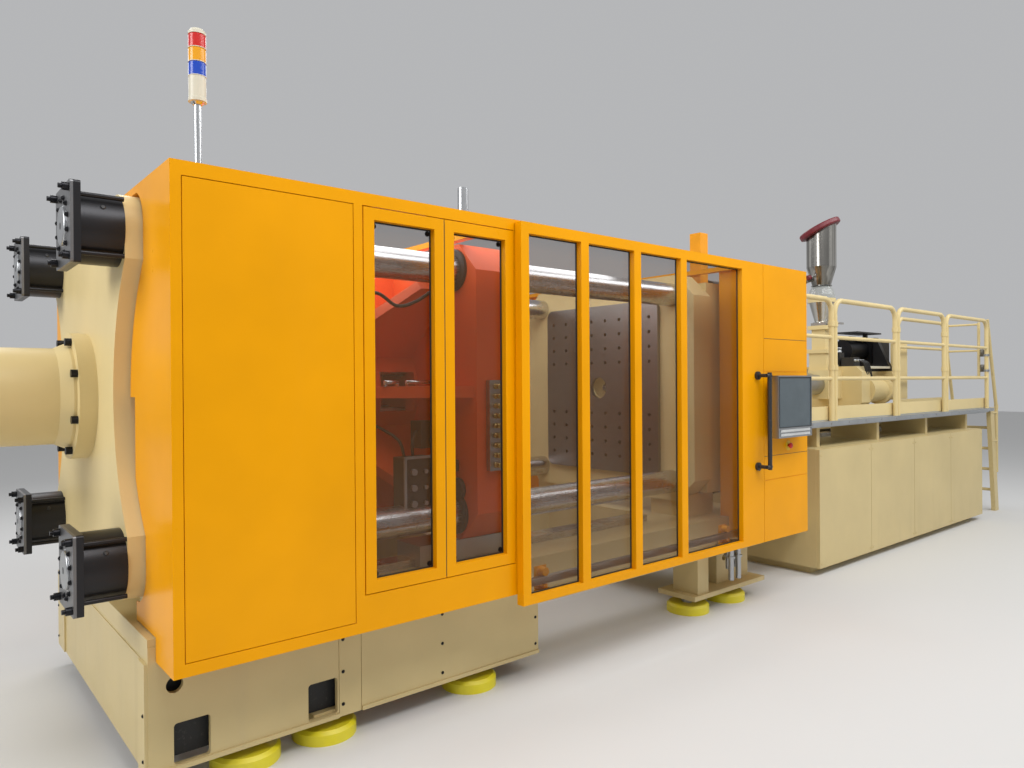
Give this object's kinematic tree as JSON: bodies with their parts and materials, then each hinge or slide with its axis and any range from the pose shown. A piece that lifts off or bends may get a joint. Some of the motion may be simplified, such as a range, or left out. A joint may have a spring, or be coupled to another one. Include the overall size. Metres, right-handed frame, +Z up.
{
  "type": "injection moulding machine",
  "caption": "Horizontal injection moulding machine: guarded clamp with tie bars and sliding gates, injection unit with hopper, and a railed service platform.",
  "frame": {"origin": "on the floor under the middle of the machine", "axes": "+X along the machine from the clamp to the injection unit, -Y towards the operator, +Z up"},
  "size_m": [10.18, 2.582, 3.2607],
  "materials": {
    "cream_paint": "semi-gloss cream paint",
    "guard_yellow": "semi-gloss yellow powder coat",
    "orange_paint": "orange-red casting paint",
    "foot_yellow": "yellow-green rubber-faced pads",
    "black_oxide": "black oxide steel",
    "steel": "machined steel",
    "stainless": "brushed stainless sheet",
    "chrome": "hard chrome",
    "galvanised": "galvanised steel",
    "smoked_sheet": "smoked clear sheet",
    "clear_sheet": "clear sheet",
    "panel_silver": "silver anodised housing",
    "screen_grey": "dark grey screen",
    "stop_red": "red moulded plastic",
    "lamp_colours": "blue, amber and red lamp lenses",
    "lid_red": "dark red coated lid",
    "motor_black": "satin black motor paint"
  },
  "bodies": {
    "machine_frame": {"end_platen": "cream_paint", "clamp_cylinder": "cream_paint", "tie_bars": "chrome", "tie_bar_nuts": "black_oxide", "clamp_bolts": "black_oxide", "stationary_platen": "cream_paint", "clamp_base": "cream_paint", "base_panels": "cream_paint", "levelling_feet": "foot_yellow", "guide_rails": "chrome", "guard_frame": "guard_yellow", "guard_end_panel": "guard_yellow", "guard_side_panels": "guard_yellow", "window_panels": "guard_yellow", "panel_windows": "smoked_sheet", "gate_tracks": "steel", "control_box": "guard_yellow", "hmi_arm": "steel", "tower_stand": "cream_paint", "tower_lamps": "lamp_colours", "top_posts": "steel", "injection_base": "cream_paint", "cabinet_panels": "cream_paint", "handrails": "cream_paint", "platform_deck": "galvanised", "toe_boards": "cream_paint", "platform_legs": "cream_paint", "gate_hinges": "steel", "water_manifold": "steel"},
    "moving_platen": {"moving_platen": "orange_paint", "clamp_ram": "chrome", "platen_shoes": "steel", "ejector_cylinder": "black_oxide"},
    "ejector": {"ejector_plate": "steel", "ejector_rods": "chrome"},
    "operator_gate": {"operator_gate": "guard_yellow", "operator_gate_windows": "smoked_sheet", "gate_handle": "black_oxide"},
    "rear_gate": {"rear_gate": "guard_yellow", "rear_gate_windows": "smoked_sheet", "rear_gate_handle": "black_oxide"},
    "operator_panel": {"hmi_panel": "panel_silver", "hmi_screen": "screen_grey"},
    "stop_button": {"estop_button": "stop_red"},
    "injection_carriage": {"carriage": "cream_paint", "barrel": "steel", "heater_bands": "steel", "nozzle": "steel", "injection_cylinders": "cream_paint", "feed_throat": "cream_paint", "hopper_cone": "stainless", "hopper_sight": "clear_sheet", "hopper_drum": "stainless", "hopper_lid": "lid_red"},
    "screw_drive": {"cross_plate": "steel", "drive_motor": "motor_black", "drive_cover": "motor_black"},
    "screw": {"screw": "chrome"},
    "shutoff": {"shutoff_slide": "chrome"},
    "platform_gate": {"platform_gate": "cream_paint"}
  },
  "joints": [
    {"name": "platen_slide", "type": "slide", "parent": "machine_frame", "child": "moving_platen", "axis": [1, 0, 0], "range_m": [0, 1]},
    {"name": "ejector_slide", "type": "slide", "parent": "moving_platen", "child": "ejector", "axis": [1, 0, 0], "range_m": [0, 0.18]},
    {"name": "operator_gate_slide", "type": "slide", "parent": "machine_frame", "child": "operator_gate", "axis": [-1, 0, 0], "range_m": [0, 1.35]},
    {"name": "rear_gate_slide", "type": "slide", "parent": "machine_frame", "child": "rear_gate", "axis": [-1, 0, 0], "range_m": [0, 1.35]},
    {"name": "panel_swivel", "type": "hinge", "parent": "machine_frame", "child": "operator_panel", "pos_m": [-0.073, -1.215, 1.3], "axis": [0, 0, 1], "range_deg": [0, 35]},
    {"name": "stop_press", "type": "slide", "parent": "machine_frame", "child": "stop_button", "axis": [0, 1, 0], "range_m": [0, 0.006], "stiffness_N_per_m": 1500},
    {"name": "carriage_slide", "type": "slide", "parent": "machine_frame", "child": "injection_carriage", "axis": [1, 0, 0], "range_m": [0, 0.35]},
    {"name": "injection_stroke", "type": "slide", "parent": "injection_carriage", "child": "screw_drive", "axis": [1, 0, 0], "range_m": [0, 0.3]},
    {"name": "screw_turn", "type": "hinge", "parent": "screw_drive", "child": "screw", "pos_m": [3.549, 0.009, 1.5], "axis": [1, 0, 0], "continuous": true},
    {"name": "shutoff_push", "type": "slide", "parent": "injection_carriage", "child": "shutoff", "axis": [0, 1, 0], "range_m": [0, 0.12]},
    {"name": "platform_gate_swing", "type": "hinge", "parent": "machine_frame", "child": "platform_gate", "pos_m": [4.736, -0.85, 1.72], "axis": [0, 0, 1], "range_deg": [0, 90], "stiffness_Nm_per_rad": 4}
  ]
}
